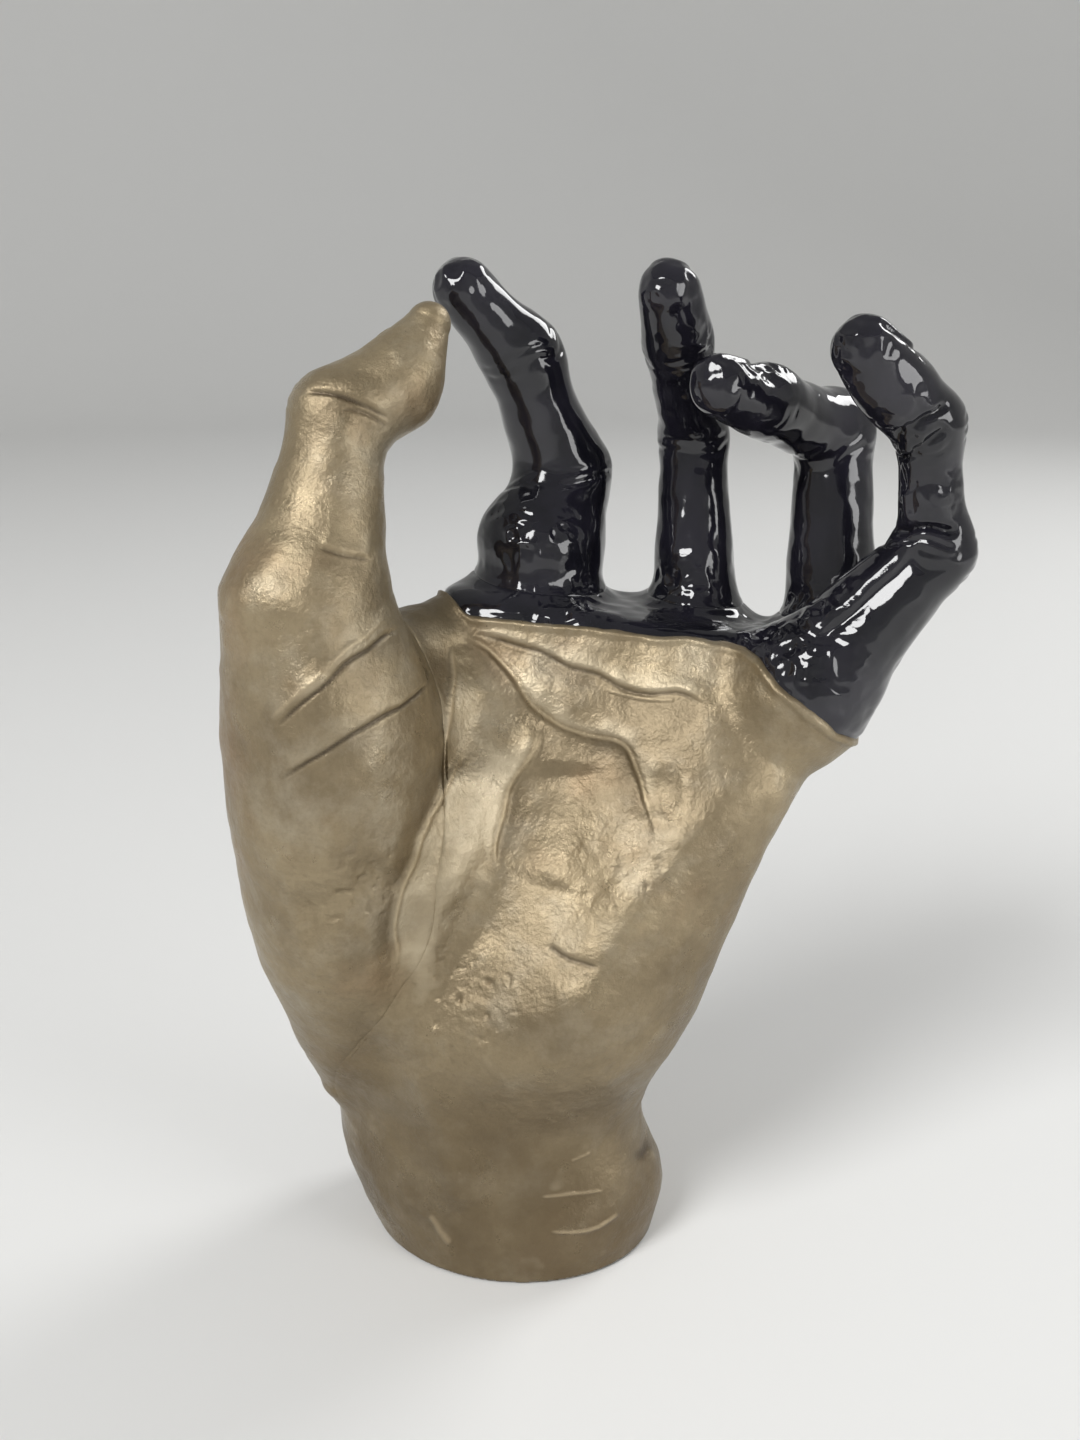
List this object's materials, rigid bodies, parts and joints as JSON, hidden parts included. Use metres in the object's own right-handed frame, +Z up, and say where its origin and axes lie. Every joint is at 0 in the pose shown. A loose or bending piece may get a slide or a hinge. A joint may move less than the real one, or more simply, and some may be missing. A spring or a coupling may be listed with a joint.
{
  "type": "ceramic hand sculpture",
  "caption": "Life-size ceramic left hand standing on its wrist, fingers curled as if round a ball: bronze-finished palm and thumb, glossy black fingers.",
  "frame": {"origin": "centre of the felt face under the wrist, on the surface that the sculpture stands on", "axes": "+Z up towards the fingertips, -Y out of the palm, -X towards the thumb"},
  "size_m": [0.1493, 0.076, 0.2099],
  "materials": {
    "bronze_glaze": "semi-gloss brown-gold patina",
    "black_glaze": "high-gloss black",
    "dowel_steel": "ground",
    "plug_rubber": "matt",
    "base_felt": "felt"
  },
  "bodies": {
    "root": {"palm_body": "bronze_glaze", "thumb": "bronze_glaze", "knuckle_bridge": "black_glaze", "index_finger": "black_glaze", "middle_finger": "black_glaze", "ring_finger": "black_glaze", "little_finger": "black_glaze", "thumb_dowel": "dowel_steel", "index_dowel": "dowel_steel", "middle_dowel": "dowel_steel", "ring_dowel": "dowel_steel", "little_dowel": "dowel_steel", "bridge_dowels": "dowel_steel", "drain_plug": "plug_rubber", "base_felt": "base_felt"}
  },
  "joints": []
}
